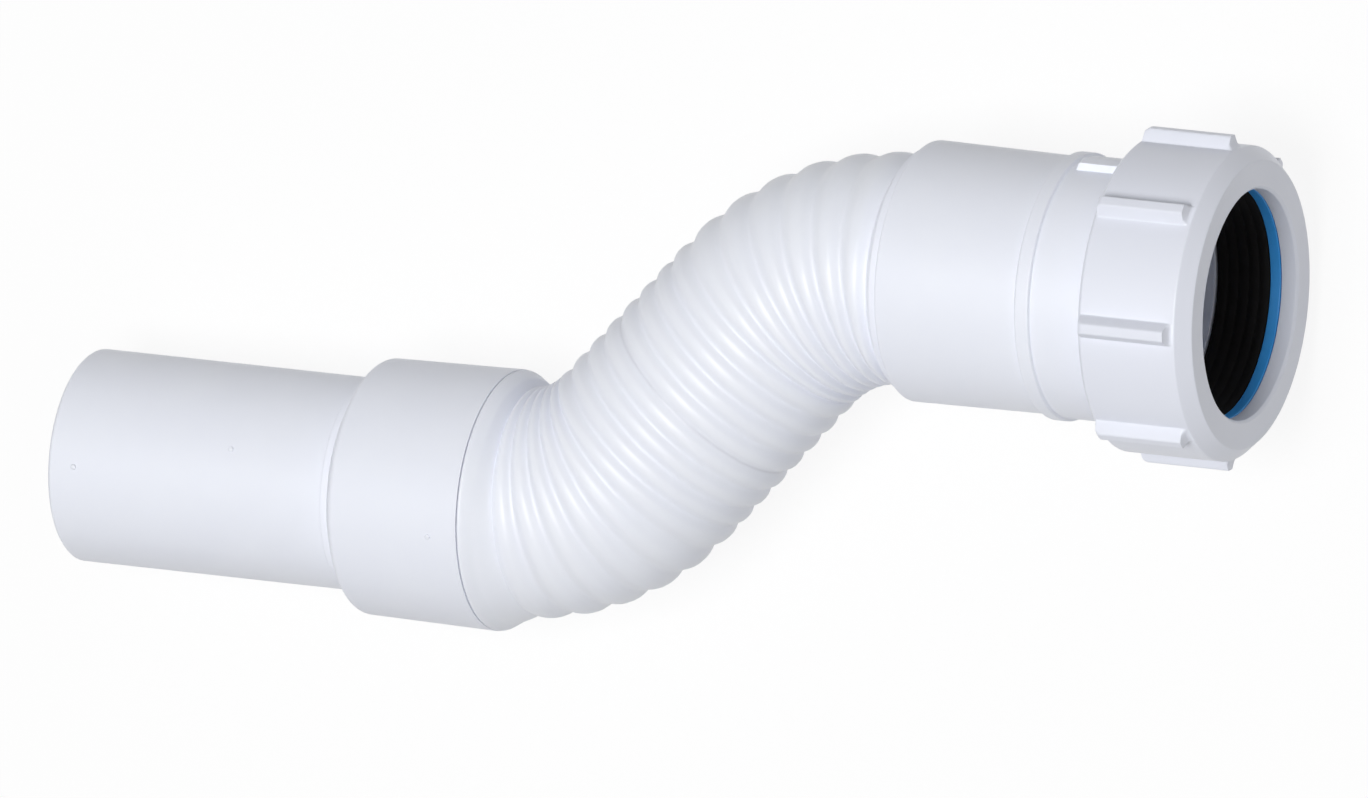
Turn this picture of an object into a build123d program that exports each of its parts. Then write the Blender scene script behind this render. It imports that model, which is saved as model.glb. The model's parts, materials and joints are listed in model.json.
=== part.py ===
from build123d import *
import math
import os

# Flexible waste pipe for 40 mm (1 1/2 in) drains: a plain spigot tail and a universal
# compression connector, joined by a corrugated hose that is bent into an S.
# All lengths are millimetres. The pieces are drawn in a design frame, where X runs along
# the tail's axis from its free end and the S lies in the XY plane. At the end they are
# turned together into the pose in which the pipe lies on a floor, and +Z is up.

# Spigot tail with the socket collar that takes the hose
tail_diameter = 41.0
tail_length = 58.1
tail_wall = 2.3
tail_end_chamfer = 0.6
bead_height = 0.4
bead_width = 1.5
shoulder_length = 2.0
shoulder_rounding = 1.4
collar_length = 27.2
collar_wall = 2.05
collar_draft = 0.5
collar_floor = 3.2
lip_chamfer = 0.3

# Hose sockets of the tail and of the connector
socket_clearance = 0.2
socket_lead_in = 0.5
sleeve_end_gap = 0.3

# Corrugated hose
crest_diameter = 45.2
crest_height = 1.2
crest_width = 2.7
convolution_count = 19
hose_wall = 1.2
sleeve_step = 0.15
sleeve_wall = 1.6
sleeve_show = 2.4
ring_step = 0.1
ring_width = 3.4
ring_gap = 0.3
ring_rounding = 1.2
bend_lead = 2.2
bend_angle = 48.2
tail_bend_radius = 33.0
connector_bend_radius = 38.0
connector_lead = 0.8
straight_run = 38.3

# Connector body: hose cuff, stop band, neck and threaded compression socket
cuff_length = 31.4
cuff_wall = 2.15
cuff_draft = 0.35
cuff_mouth_taper = 2.4
cuff_mouth_drop = 1.6
band_width = 2.9
band_height = 0.35
bulge_length = 4.0
bulge_height = 0.6
neck_wall = 3.15
thread_length = 12.5
thread_end_chamfer = 0.6
pipe_diameter = 43.0
pipe_clearance = 0.25
pipe_bore_length = 25.0
stop_wall = 3.2
stop_step = 1.45
seat_depth = 8.0
seat_step = 1.45
seat_flare = 1.4
mouth_wall = 1.4
lug_height = 1.0
lug_top_width = 2.8
lug_base_width = 6.4
lug_length = 12.5
lug_angle = 77.0

# Compression nut
thread_clearance = 1.6
nut_wall = 2.6
nut_barrel_length = 20.6
nut_bevel_length = 2.2
nut_bevel_height = 2.55
nut_mouth_clearance = 0.65
nut_mouth_chamfer = 0.5
nut_lip_thickness = 2.8
nut_back_chamfer = 0.7
rib_count = 8
rib_height = 2.4
rib_base_width = 4.4
rib_top_width = 1.8
rib_setback = 0.8
rib_end_setback = 0.75
rib_end_slope = 0.25
rib_phase = -9.8

# Slip washer and rubber seal
washer_thickness = 2.2
washer_bore_clearance = 0.6
washer_rim_clearance = 0.6
washer_edge_chamfer = 0.3
washer_play = 0.1
seal_proud = 3.8
seal_clearance = 0.2
seal_floor_gap = 0.2
seal_bore_clearance = 0.5
seal_groove_depth = 0.4
seal_groove_count = 4

# Diameters that follow from the hose, outwards to the collar and the cuff
valley_diameter = crest_diameter - 2 * crest_height
sleeve_diameter = crest_diameter - 2 * sleeve_step
socket_diameter = sleeve_diameter + 2 * socket_clearance
collar_root_diameter = socket_diameter + 2 * collar_wall
collar_mouth_diameter = collar_root_diameter + 2 * collar_draft
ring_diameter = collar_mouth_diameter - 2 * ring_step
cuff_root_diameter = socket_diameter + 2 * cuff_wall
cuff_mouth_diameter = cuff_root_diameter + 2 * cuff_draft
band_diameter = cuff_root_diameter + 2 * band_height
bulge_diameter = band_diameter + 2 * bulge_height

# Diameters that follow from the pipe that the socket takes, outwards to the nut
pipe_bore_diameter = pipe_diameter + 2 * pipe_clearance
passage_diameter = pipe_bore_diameter - 2 * stop_step
neck_diameter = pipe_bore_diameter + 2 * neck_wall
seat_floor_diameter = pipe_bore_diameter + 2 * seat_step
seat_mouth_diameter = seat_floor_diameter + 2 * seat_flare
thread_root_diameter = seat_mouth_diameter + 2 * mouth_wall
nut_bore_diameter = thread_root_diameter + 2 * thread_clearance
nut_barrel_diameter = nut_bore_diameter + 2 * nut_wall
nut_face_diameter = nut_barrel_diameter - 2 * nut_bevel_height
rib_tip_diameter = nut_barrel_diameter + 2 * rib_height
nut_mouth_diameter = pipe_diameter + 2 * nut_mouth_clearance
washer_bore_diameter = pipe_diameter + 2 * washer_bore_clearance
washer_diameter = nut_bore_diameter - 2 * washer_rim_clearance
seal_bore_diameter = pipe_diameter + 2 * seal_bore_clearance

# Places along the design frame's X axis: tail and hose
bead_start = tail_length
shoulder_start = bead_start + bead_width
collar_start = shoulder_start + shoulder_length
collar_mouth = collar_start + collar_length
socket_depth = collar_length - collar_floor
bend_start = collar_mouth + bend_lead
bend = math.radians(bend_angle)
bend_radii = tail_bend_radius + connector_bend_radius
offset = bend_radii * (1 - math.cos(bend)) + straight_run * math.sin(bend)

# Places along X: connector, then seal, washer and nut stacked on its mouth
arcs_end = bend_start + bend_radii * math.sin(bend) + straight_run * math.cos(bend)
cuff_mouth = arcs_end + connector_lead
band_start = cuff_mouth + cuff_length
bulge_start = band_start + band_width
neck_start = bulge_start + bulge_length
pipe_stop = cuff_mouth + socket_depth + stop_wall
seat_floor = pipe_stop + pipe_bore_length
socket_mouth = seat_floor + seat_depth
thread_start = socket_mouth - thread_length
seal_back = seat_floor + seal_floor_gap
seal_front = socket_mouth + seal_proud
washer_back = seal_front + washer_play
washer_front = washer_back + washer_thickness
nut_lip = washer_front + washer_play
nut_face = nut_lip + nut_lip_thickness
nut_shoulder = nut_face - nut_bevel_length
nut_back = nut_shoulder - nut_barrel_length
rib_start = nut_back + rib_setback
rib_end = nut_shoulder - rib_end_setback

# Lengths along the hose's centreline, from the start of the bend at the tail
tail_arc = tail_bend_radius * bend
connector_arc = connector_bend_radius * bend
run_end = tail_arc + straight_run
second_arc_end = run_end + connector_arc
hose_free_end = second_arc_end + connector_lead
ring_start = ring_gap - bend_lead
ring_end = ring_start + ring_width
first_valley = ring_end + ring_rounding / 2
last_valley = hose_free_end - sleeve_show
pitch = (last_valley - first_valley) / convolution_count

# Corners of the tail's (x, radius) outline that the floor also needs
tail_end_corner = (tail_end_chamfer, tail_diameter / 2)
bead_corner = (shoulder_start, tail_diameter / 2 + bead_height)
collar_root = (collar_start, collar_root_diameter / 2)
collar_lip = (collar_mouth - lip_chamfer, collar_mouth_diameter / 2)


def turned(outline, roundings=()):
    """Solid of revolution about X from (x, radius) corners, with some corners rounded."""
    section = make_face(Polyline(*outline, close=True))
    for corner, radius in roundings:
        vertex = section.vertices().sort_by_distance((*corner, 0))[0]
        section = fillet(vertex, radius)
    return revolve(Plane.XZ * section, Axis.X)


def axial_bar(base_width, top_width, base_radius, top_radius, start, end):
    """Bar along X above the axis, with a trapezium for its section."""
    section = Polyline(
        (-base_width / 2, base_radius),
        (-top_width / 2, top_radius),
        (top_width / 2, top_radius),
        (base_width / 2, base_radius),
        close=True,
    )
    return extrude(Plane.YZ.offset(start) * make_face(section), end - start)


def spigot_tail():
    """Plain tail, bead and tapered collar, bored as one moulding."""
    tail_radius = tail_diameter / 2
    bore = tail_radius - tail_wall
    socket = socket_diameter / 2
    floor = collar_mouth - socket_depth
    outline = [
        (0, bore),
        (0, tail_radius - tail_end_chamfer),
        tail_end_corner,
        (bead_start, tail_radius),
        (bead_start, tail_radius + bead_height),
        bead_corner,
        collar_root,
        collar_lip,
        (collar_mouth, collar_mouth_diameter / 2 - lip_chamfer),
        (collar_mouth, socket + socket_lead_in),
        (collar_mouth - socket_lead_in, socket),
        (floor, socket),
        (floor, bore),
    ]
    return turned(outline, [(collar_root, shoulder_rounding)])


def station(length):
    """Plane across the hose's centreline: straight, arc, straight run, arc, straight."""
    first_turn = min(max(length, 0), tail_arc) / tail_bend_radius
    second_turn = min(max(length - run_end, 0), connector_arc) / connector_bend_radius
    heading = first_turn - second_turn
    lead = min(length, 0)
    run = min(max(length - tail_arc, 0), straight_run)
    lead_out = max(length - second_arc_end, 0)
    x = bend_start + lead + tail_bend_radius * math.sin(first_turn)
    y = tail_bend_radius * (1 - math.cos(first_turn))
    x += run * math.cos(bend)
    y += run * math.sin(bend)
    x += connector_bend_radius * (math.sin(bend) - math.sin(bend - second_turn)) + lead_out
    y += connector_bend_radius * (math.cos(bend - second_turn) - math.cos(bend))
    tangent = (math.cos(heading), math.sin(heading), 0)
    return Plane(origin=(x, y, 0), x_dir=(0, 0, 1), z_dir=tangent)


def lofted(sections):
    """Solid through circles given as (centreline length, radius), straight from one to the next."""
    wires = [Wire.make_circle(radius, station(length)) for length, radius in sections]
    return Solid.make_loft(wires, ruled=True)


def flexible_hose():
    """Corrugated tube with a stop ring at the tail and a plain sleeve in each socket."""
    sleeve = sleeve_diameter / 2
    ring = ring_diameter / 2
    crest = crest_diameter / 2
    valley = valley_diameter / 2
    sleeve_start = sleeve_end_gap - bend_lead - socket_depth
    sleeve_end = hose_free_end + socket_depth - sleeve_end_gap
    crest_rise = (pitch - crest_width) / 2
    outer = [
        (sleeve_start, sleeve),
        (ring_start, sleeve),
        (ring_start + ring_rounding / 4, ring - ring_rounding / 2),
        (ring_start + ring_rounding, ring),
        (ring_end - ring_rounding, ring),
        (ring_end, ring - ring_rounding),
    ]
    bore = sleeve - sleeve_wall
    inner = [(sleeve_start - sleeve_wall, bore), (ring_start, bore)]
    for index in range(convolution_count):
        start = first_valley + index * pitch
        outer.append((start, valley))
        outer.append((start + crest_rise, crest))
        outer.append((start + pitch - crest_rise, crest))
        inner.append((start, valley - hose_wall))
        inner.append((start + pitch / 2, crest - hose_wall))
    outer += [(last_valley, valley), (last_valley + crest_rise, sleeve), (sleeve_end, sleeve)]
    inner += [(last_valley, valley - hose_wall), (last_valley + crest_rise, bore)]
    inner.append((sleeve_end + sleeve_wall, bore))
    return lofted(outer) - lofted(inner)


def seat_radius(x):
    """Radius of the connector's conical seal seat at x, carried on past its mouth."""
    return seat_floor_diameter / 2 + seat_flare / seat_depth * (x - seat_floor)


def connector_body():
    """Hose cuff, band, bulge, neck with two grip lugs, and the threaded compression socket."""
    socket = socket_diameter / 2
    socket_floor = cuff_mouth + socket_depth
    cuff = cuff_mouth_diameter / 2
    band = band_diameter / 2
    bulge = bulge_diameter / 2
    neck = neck_diameter / 2
    thread_root = thread_root_diameter / 2
    bore = pipe_bore_diameter / 2
    passage = passage_diameter / 2
    outline = [
        (cuff_mouth, socket + socket_lead_in),
        (cuff_mouth, cuff - cuff_mouth_drop),
        (cuff_mouth + cuff_mouth_taper, cuff),
        (band_start, cuff_root_diameter / 2),
        (band_start + band_height, band),
        (bulge_start, band),
        (bulge_start + bulge_height, bulge),
        (bulge_start + bulge_length / 2, bulge),
        (neck_start, neck),
        (thread_start - (thread_root - neck), neck),
        (thread_start, thread_root),
        (socket_mouth - thread_end_chamfer, thread_root),
        (socket_mouth, thread_root - thread_end_chamfer),
        (socket_mouth, seat_mouth_diameter / 2),
        (seat_floor, seat_floor_diameter / 2),
        (seat_floor, bore),
        (pipe_stop, bore),
        (pipe_stop, passage),
        (socket_floor, passage),
        (socket_floor, socket),
        (cuff_mouth + socket_lead_in, socket),
    ]
    body = turned(outline)
    lug_start = bulge_start + bulge_height
    lug = axial_bar(
        lug_base_width, lug_top_width, neck - lug_height, neck + lug_height, lug_start, lug_start + lug_length
    )
    for angle in (lug_angle, -lug_angle):
        body += Rot(-angle, 0, 0) * lug
    return body


def compression_nut():
    """Ribbed barrel with a bevelled front face and a lip round the pipe's mouth."""
    barrel = nut_barrel_diameter / 2
    face = nut_face_diameter / 2
    bore = nut_bore_diameter / 2
    mouth = nut_mouth_diameter / 2
    tip = rib_tip_diameter / 2
    outline = [
        (nut_back, bore + nut_back_chamfer),
        (nut_back, barrel - nut_back_chamfer),
        (nut_back + nut_back_chamfer, barrel),
        (nut_shoulder, barrel),
        (nut_face, face),
        (nut_face, mouth + nut_mouth_chamfer),
        (nut_face - nut_mouth_chamfer, mouth),
        (nut_lip, mouth),
        (nut_lip, bore),
        (nut_back + nut_back_chamfer, bore),
    ]
    sink = rib_height / 4
    spread = (rib_base_width - rib_top_width) / rib_height * sink
    rib_envelope = turned([
        (rib_start, bore),
        (rib_start, tip - rib_setback),
        (rib_start + rib_setback, tip),
        (rib_end - rib_end_slope, tip),
        (rib_end, barrel - sink),
        (rib_end, bore),
    ])
    bar = axial_bar(
        rib_base_width + spread, rib_top_width - spread, barrel - sink, tip + sink, rib_start, rib_end
    )
    nut = turned(outline)
    for index in range(rib_count):
        angle = rib_phase + index * 360 / rib_count
        nut += Rot(-angle, 0, 0) * (bar & rib_envelope)
    return nut


def slip_washer():
    """Flat ring that lets the nut turn without dragging the seal."""
    bore = washer_bore_diameter / 2
    rim = washer_diameter / 2
    edge = washer_edge_chamfer
    return turned([
        (washer_back, bore),
        (washer_back, rim - edge),
        (washer_back + edge, rim),
        (washer_front - edge, rim),
        (washer_front, rim - edge),
        (washer_front, bore),
    ])


def rubber_seal():
    """Wedge ring in the conical seat, with rounded-off grooves round its bore."""
    bore = seal_bore_diameter / 2
    groove = bore + seal_groove_depth
    outline = [
        (seal_front, bore),
        (seal_front, seat_radius(seal_front) - seal_clearance),
        (seal_back, seat_radius(seal_back) - seal_clearance),
    ]
    rib_pitch = (seal_front - seal_back) / (seal_groove_count + 1)
    outline.append((seal_back, bore))
    for index in range(seal_groove_count):
        middle = seal_back + (index + 1) * rib_pitch
        outline.append((middle - rib_pitch / 3, bore))
        outline.append((middle, groove))
        outline.append((middle + rib_pitch / 3, bore))
    return turned(outline)


def rounding_centre(before, corner, after, radius):
    """Centre of the arc that rounds the corner between two straight lines of an (x, radius) outline."""
    back = (Vector(*before) - Vector(*corner)).normalized()
    ahead = (Vector(*after) - Vector(*corner)).normalized()
    half_angle = math.radians(back.get_angle(ahead)) / 2
    return Vector(*corner) + (back + ahead).normalized() * (radius / math.sin(half_angle))


def floor_pitch():
    """Angle between the tail's axis and a floor that touches the tail's end and its collar."""
    to_rounding = rounding_centre(bead_corner, collar_root, collar_lip, shoulder_rounding) - Vector(*tail_end_corner)
    at_root = math.atan2(to_rounding.Y, to_rounding.X) + math.asin(shoulder_rounding / to_rounding.length)
    to_lip = Vector(*collar_lip) - Vector(*tail_end_corner)
    return max(at_root, math.atan2(to_lip.Y, to_lip.X))


def floor_roll(pitch_angle):
    """Angle about X of a floor at that pitch that also touches the back end of the nut's lowest rib."""
    tip = rib_tip_diameter / 2
    half_top = math.asin(rib_top_width / 2 / tip)
    rib_step = 360 / rib_count
    lowest = math.radians(180 - rib_phase - round((180 - rib_phase) / rib_step) * rib_step)
    rib_back = rib_start + rib_setback
    drop = tail_diameter / 2 + (rib_back - tail_end_chamfer) * math.tan(pitch_angle)
    rolls = []
    for edge in (lowest - half_top, lowest + half_top):
        across = offset + tip * math.sin(edge)
        below = tip * math.cos(edge)
        rolls.append(math.atan2(below, across) - math.asin(drop / math.hypot(across, below)))
    return max(rolls)


def floor_plane():
    """Floor under the tail's end, its collar and the nut's lowest rib, as a design-frame plane."""
    pitch_angle = floor_pitch()
    roll = floor_roll(pitch_angle)
    normal = Vector(
        math.sin(pitch_angle),
        math.cos(pitch_angle) * math.sin(roll),
        math.cos(pitch_angle) * math.cos(roll),
    )
    along = Vector(1, 0, 0) - normal * normal.X
    return Plane(origin=(0, 0, 0), x_dir=along, z_dir=normal)


def rest_location(tail, nut):
    """Move from the design frame to the floor, with the origin under the middle of the pipe's box."""
    to_floor = floor_plane().location.inverse()
    ends = Compound(children=[to_floor * tail, to_floor * nut]).bounding_box()
    middle = ends.center()
    return Pos(-middle.X, -middle.Y, -ends.min.Z) * to_floor


on_connector_axis = Pos(0, offset, 0)
design_pieces = {
    "spigot_tail": spigot_tail(),
    "flexible_hose": flexible_hose(),
    "connector_body": on_connector_axis * connector_body(),
    "rubber_seal": on_connector_axis * rubber_seal(),
    "slip_washer": on_connector_axis * slip_washer(),
    "compression_nut": on_connector_axis * compression_nut(),
}
to_rest = rest_location(design_pieces["spigot_tail"], design_pieces["compression_nut"])

os.makedirs("parts", exist_ok=True)
for node, piece in design_pieces.items():
    export_step(to_rest * piece, f"parts/{node}.step")
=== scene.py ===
"""Looks of a flexible waste pipe: white mouldings, a corrugated hose, a black seal and a blue washer.

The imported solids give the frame. Each piece is worked out in millimetres in the pipe's drawing frame. There,
X runs along the tail from its free end and the S of the hose lies in the XY plane. The piece is then set in
the part's own frame, in metres.
"""

import json
import logging
import math
from dataclasses import dataclass
from enum import Enum
from typing import Any, Sequence

import bmesh
import bpy
import numpy as np
from mathutils import Matrix, Vector
from numpy.typing import NDArray

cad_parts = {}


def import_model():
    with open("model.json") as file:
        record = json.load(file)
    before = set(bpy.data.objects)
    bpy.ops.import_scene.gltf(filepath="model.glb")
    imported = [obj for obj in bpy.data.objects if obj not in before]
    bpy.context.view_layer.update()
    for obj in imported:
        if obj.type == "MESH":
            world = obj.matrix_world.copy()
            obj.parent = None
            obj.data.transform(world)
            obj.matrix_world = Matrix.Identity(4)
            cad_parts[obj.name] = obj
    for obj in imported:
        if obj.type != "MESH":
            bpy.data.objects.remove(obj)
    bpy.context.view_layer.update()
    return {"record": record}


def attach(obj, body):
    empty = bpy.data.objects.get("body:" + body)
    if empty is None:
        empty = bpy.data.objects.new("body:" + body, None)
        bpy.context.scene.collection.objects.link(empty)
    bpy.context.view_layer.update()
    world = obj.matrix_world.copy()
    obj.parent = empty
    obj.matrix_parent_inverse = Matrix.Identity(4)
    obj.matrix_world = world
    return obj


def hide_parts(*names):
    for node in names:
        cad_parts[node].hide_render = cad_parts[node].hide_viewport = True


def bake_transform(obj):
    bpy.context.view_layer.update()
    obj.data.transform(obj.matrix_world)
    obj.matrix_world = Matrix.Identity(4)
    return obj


Array = NDArray[np.float64]

LOG = logging.getLogger("flexible_waste_pipe")
MM = 0.001
TURN = 2 * math.pi
WHITE = "#FFFFFF"
# Arcs of turned outlines: widest step, the most of an edge that one takes, and the guard points past them
ARC_STEP = math.radians(9)
ARC_SHARE = 0.4
GUARD_SHARE = 0.06
GUARD_LENGTH = 0.3
# Steps of the running sum that crowds angles together
DENSITY_STEPS = 20000
# How far inside a wall's radius a point may lie and still count as on that wall, in millimetres
WALL_TOLERANCE = 0.05
# Points nearer than the first merge at a pole, and edges shorter than the second go, in metres
MERGE_DISTANCE = 1e-7
SHORTEST_EDGE = 1e-8
# Edges sharper than this stay sharp in the shading
CREASE_ANGLE = math.radians(50)
# Lowest and highest value that the slow noise of a finish mostly takes
CLOUD_RANGE = (0.3, 0.7)


class Body(Enum):
    """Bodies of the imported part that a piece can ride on."""

    TAIL = "tail"
    HOSE = "hose"
    CONNECTOR = "connector"
    WASHER = "washer"
    NUT = "nut"


class Slot(Enum):
    """Material slots of the part's record."""

    FITTINGS = "white_fittings"
    HOSE = "white_hose"
    NUT = "white_nut"
    RUBBER = "black_rubber"
    WASHER = "blue_washer"


def unit(vector: Array) -> Array:
    """The vector at a length of one."""
    return vector / np.linalg.norm(vector)


def smooth_min(first: Array | float, second: Array | float, rounding: float) -> Array:
    """Lesser of two heights, with the crease between them rounded off.

    Where they differ by less than the rounding k, the lesser falls by (k - difference) squared over 4k.

    Args:
        first: One height at each point.
        second: The other height at each point.
        rounding: Difference of height within which the two melt together.

    Returns:
        The rounded lesser height at each point.
    """
    overlap = np.maximum(rounding - np.abs(first - second), 0)
    return np.minimum(first, second) - overlap**2 / (4 * rounding)


def smooth_max(first: Array | float, second: Array | float, rounding: float) -> Array:
    """Greater of two heights, rounded as smooth_min is."""
    return -smooth_min(-np.asarray(first), -np.asarray(second), rounding)


def ridge(distance: Array, base: float, top: float, height: float, rounding: float) -> Array:
    """Height of a ridge with a trapezium for its section, its upper edges rounded.

    The flank is a straight line that reaches 0 at half the base width and the full height at half the top
    width, and the ridge is the lesser of flank and height.

    Args:
        distance: Distance of each point from the ridge's middle line.
        base: Width at the foot.
        top: Width at the top.
        height: Height of the flat top.
        rounding: Rounding between flank and top.

    Returns:
        The height at each point, negative beyond the foot.
    """
    flank = (base / 2 - np.abs(distance)) * height / ((base - top) / 2)
    return smooth_min(flank, height, rounding)


@dataclass(frozen=True)
class Corner:
    """Corner of a turned outline: place along the axis, radius from it and rounding, in millimetres."""

    x: float
    r: float
    rounding: float = 0.15


def rounded_outline(corners: Sequence[Corner]) -> Array:
    """Points of a closed outline whose corners are arcs.

    An arc touches both edges of its corner at rounding / tan(half the angle between them) from it. A guard
    point on each edge, just past the arc, keeps the shading of the straight stretch flat.

    Args:
        corners: Corners in order round the outline.

    Returns:
        The (x, r) points, in order, without repeating the first.
    """
    spots = np.array([(corner.x, corner.r) for corner in corners])
    points = []
    for index, corner in enumerate(corners):
        edges = (spots[index - 1] - spots[index], spots[(index + 1) % len(spots)] - spots[index])
        spans = [float(np.linalg.norm(edge)) for edge in edges]
        back, ahead = (edge / span for edge, span in zip(edges, spans))
        half = math.acos(float(np.clip(back @ ahead, -1, 1))) / 2
        reach = min(corner.rounding / math.tan(half), ARC_SHARE * min(spans))
        rounding = reach * math.tan(half)
        centre = spots[index] + unit(back + ahead) * rounding / math.sin(half)
        sweep = math.pi - 2 * half
        share = np.linspace(0, 1, max(3, math.ceil(sweep / ARC_STEP) + 1))[:, None]
        first = spots[index] + back * reach - centre
        last = spots[index] + ahead * reach - centre
        arc = (first * np.sin((1 - share) * sweep) + last * np.sin(share * sweep)) / math.sin(sweep)
        guards = [min(GUARD_LENGTH, GUARD_SHARE * span) for span in spans]
        points.append(spots[index] + back * (reach + guards[0]))
        points.append(centre + arc)
        points.append(spots[index] + ahead * (reach + guards[1]))
    return np.vstack(points)


def refined(outline: Array, step: float, start: float, end: float) -> Array:
    """The same closed outline with its edges cut into short equal lengths between two places along the axis.

    Args:
        outline: The (x, r) points of the outline.
        step: Longest edge allowed there, in millimetres.
        start: Place along the axis where the fine stretch begins.
        end: Place where it ends.

    Returns:
        The outline with the added points.
    """
    following = np.roll(outline, -1, axis=0)
    middle = (outline[:, 0] + following[:, 0]) / 2
    spans = np.linalg.norm(following - outline, axis=1)
    wanted = np.where((middle > start) & (middle < end), np.ceil(spans / step), 1)
    counts = np.maximum(wanted, 1).astype(int)
    index = np.repeat(np.arange(len(outline)), counts)
    within = np.arange(counts.sum()) - np.repeat(np.cumsum(counts) - counts, counts)
    share = (within / counts[index])[:, None]
    return outline[index] * (1 - share) + following[index] * share


def even_angles(count: int) -> Array:
    """Angles spaced evenly round a turn."""
    return np.arange(count) * TURN / count


def nearest_centre(angles: Array, centres: Array) -> Array:
    """Angle from each angle to the nearest of some centres, the short way round."""
    return np.abs((angles[:, None] - centres + math.pi) % TURN - math.pi).min(axis=1)


def crowded_angles(count: int, centres: Array, half_width: float, crowding: float) -> Array:
    """Angles round a turn that stand closer together near some centres.

    The angles are equal steps of the running sum of a density, which is 1 in the open and 1 + crowding
    within half_width of a centre.

    Args:
        count: How many angles.
        centres: Angles to crowd round, in radians.
        half_width: How far on each side of a centre the crowding goes, in radians.
        crowding: How much denser it is there.

    Returns:
        The angles, from the first centre round to it again.
    """
    fine = centres[0] + np.linspace(0, TURN, DENSITY_STEPS + 1)
    density = 1 + crowding * (nearest_centre(fine, centres) < half_width)
    travel = np.concatenate([[0], np.cumsum((density[1:] + density[:-1]) / 2)])
    return np.interp(np.linspace(0, travel[-1], count, endpoint=False), travel, fine)


def turned(x: Array, radius: Array, angles: Array, axis_y: float = 0.0) -> Array:
    """Points turned about a line along X: (x, r sin a + axis_y, r cos a), with a from +Z towards +Y.

    Args:
        x: Place along the axis of each row.
        radius: Radius of each row, or of each row and angle.
        angles: Angle of each column, in radians.
        axis_y: Distance of the axis from the drawing frame's X axis.

    Returns:
        Points as rows by columns by 3, in millimetres.
    """
    radii = np.broadcast_to(radius if radius.ndim == 2 else radius[:, None], (len(x), len(angles)))
    places = np.broadcast_to(x[:, None], radii.shape)
    return np.stack([places, radii * np.sin(angles) + axis_y, radii * np.cos(angles)], axis=-1)


def ring_quads(rows: int, columns: int) -> NDArray[np.int64]:
    """Quads of a grid that closes on itself both ways, as the skin of a ring does.

    Args:
        rows: Points round the ring's section.
        columns: Points round the ring.

    Returns:
        Four point numbers for each quad.
    """
    row, column = np.meshgrid(np.arange(rows), np.arange(columns), indexing="ij")
    here, below = row * columns, (row + 1) % rows * columns
    right = (column + 1) % columns
    corners = [here + column, below + column, below + right, here + right]
    return np.stack(corners, axis=-1).reshape(-1, 4)


def outward(points: Array, quads: NDArray[np.int64]) -> NDArray[np.int64]:
    """The quads, turned over if the volume that they enclose comes out negative.

    The volume is a sixth of the sum of (a x b).c + (a x c).d over the quads' corners a, b, c and d.

    Args:
        points: Points of a closed skin.
        quads: Its quads.

    Returns:
        The quads with their faces outwards.
    """
    a, b, c, d = (points[quads[:, corner]] for corner in range(4))
    volume = np.einsum("ij,ij->", np.cross(a, b), c) + np.einsum("ij,ij->", np.cross(a, c), d)
    return quads if volume > 0 else quads[:, ::-1]


def ring_piece(name: str, grid: Array) -> bpy.types.Object:
    """Smooth closed mesh from a grid of points that closes on itself both ways.

    Args:
        name: Name of the piece.
        grid: Points as rows by columns by 3, in metres.

    Returns:
        The new object, at the origin.
    """
    points = grid.reshape(-1, 3)
    quads = outward(points, ring_quads(*grid.shape[:2]))
    mesh = bpy.data.meshes.new(name)
    mesh.from_pydata(points.tolist(), [], quads.tolist())
    mesh.polygons.foreach_set("use_smooth", np.ones(len(quads), bool))
    mesh.set_sharp_from_angle(angle=CREASE_ANGLE)
    piece = bpy.data.objects.new(name, mesh)
    bpy.context.scene.collection.objects.link(piece)
    return piece


def hex_colour(code: str) -> tuple[float, float, float, float]:
    """Linear colour from an sRGB hex value such as #EEF1FA.

    The sRGB curve is s / 12.92 up to 0.04045, and ((s + 0.055) / 1.055)^2.4 above it.

    Args:
        code: The hex value.

    Returns:
        Red, green, blue and alpha.
    """
    shares = np.array([int(code[start:start + 2], 16) for start in (1, 3, 5)]) / 255
    linear = np.where(shares <= 0.04045, shares / 12.92, ((shares + 0.055) / 1.055) ** 2.4)
    return (*linear.tolist(), 1.0)


def add_node(
    tree: bpy.types.NodeTree, kind: str, sockets: dict[str | int, Any], **settings: Any
) -> bpy.types.Node:
    """Adds a node with its settings, socket values and links.

    Args:
        tree: Node tree that takes it.
        kind: Blender's name for the node.
        sockets: Value or source socket for each input, by the input's name or number.
        settings: Values of the node's own properties.

    Returns:
        The new node.
    """
    node = tree.nodes.new(kind)
    for key, value in settings.items():
        setattr(node, key, value)
    for key, value in sockets.items():
        if isinstance(value, bpy.types.NodeSocket):
            tree.links.new(value, node.inputs[key])
        else:
            node.inputs[key].default_value = value
    return node


def empty_tree(owner: bpy.types.Material | bpy.types.World) -> bpy.types.NodeTree:
    """Clears a node tree.

    Args:
        owner: Material or world that has it.

    Returns:
        The empty tree.
    """
    owner.use_nodes = True
    owner.node_tree.nodes.clear()
    return owner.node_tree


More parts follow.
